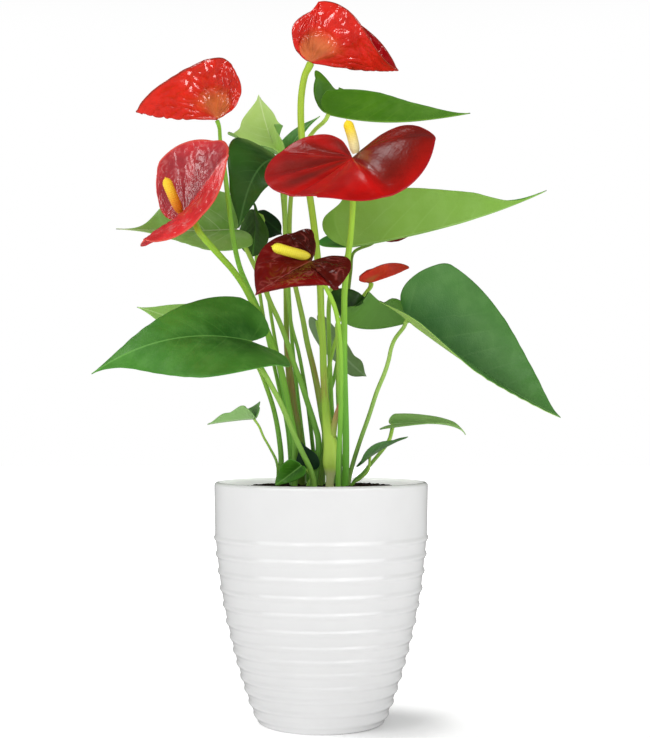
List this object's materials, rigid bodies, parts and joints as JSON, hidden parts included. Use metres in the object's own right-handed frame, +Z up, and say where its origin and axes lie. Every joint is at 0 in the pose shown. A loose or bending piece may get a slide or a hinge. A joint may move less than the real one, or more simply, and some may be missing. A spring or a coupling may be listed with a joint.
{
  "type": "potted plant",
  "caption": "Flowering anthurium in a ribbed white ceramic pot: glossy red heart-shaped blooms with yellow spikes and green leaves on long stems",
  "frame": {"origin": "centre of the flat foot of the pot, which rests on a level surface", "axes": "+Z up through the middle of the pot, -Y towards the side seen in the picture, +X to the right seen from there"},
  "size_m": [0.2723, 0.1708, 0.4363],
  "materials": {
    "pot_glaze": "satin",
    "soil": "matte",
    "spathe_red": "gloss",
    "spathe_dark": "gloss",
    "spadix": "matte",
    "leaf": "satin",
    "leaf_pale": "satin",
    "stem": "satin"
  },
  "bodies": {
    "root": {"spathe_upper_left": "spathe_red", "stem_upper_left": "stem", "spadix_upper_left": "spadix", "spathe_top": "spathe_red", "stem_top": "stem", "spadix_top": "spadix", "spathe_left": "spathe_red", "stem_left": "stem", "spadix_left": "spadix", "spathe_front": "spathe_red", "stem_front": "stem", "spadix_front": "spadix", "spathe_dark": "spathe_dark", "stem_dark": "stem", "spadix_dark": "spadix", "spathe_small": "spathe_red", "stem_small": "stem", "spathe_back": "spathe_dark", "stem_back": "stem", "spadix_back": "spadix", "leaf_left_big": "leaf", "leaf_left_tip": "leaf_pale", "leaf_right_big": "leaf", "leaf_right_shaded": "leaf", "leaf_right_pale": "leaf_pale", "leaf_upper_right": "leaf", "leaf_narrow": "leaf", "leaf_upright_pale": "leaf_pale", "leaf_upper_dark": "leaf", "leaf_mid_olive": "leaf", "leaf_mid_dark": "leaf", "leaf_far_left": "leaf", "leaf_low_grey": "leaf", "leaf_low_left": "leaf", "leaf_low_right": "leaf", "leaf_low_right_dark": "leaf", "leaf_base_front": "leaf", "leaf_base_dark": "leaf", "pot": "pot_glaze", "soil": "soil"}
  },
  "joints": []
}
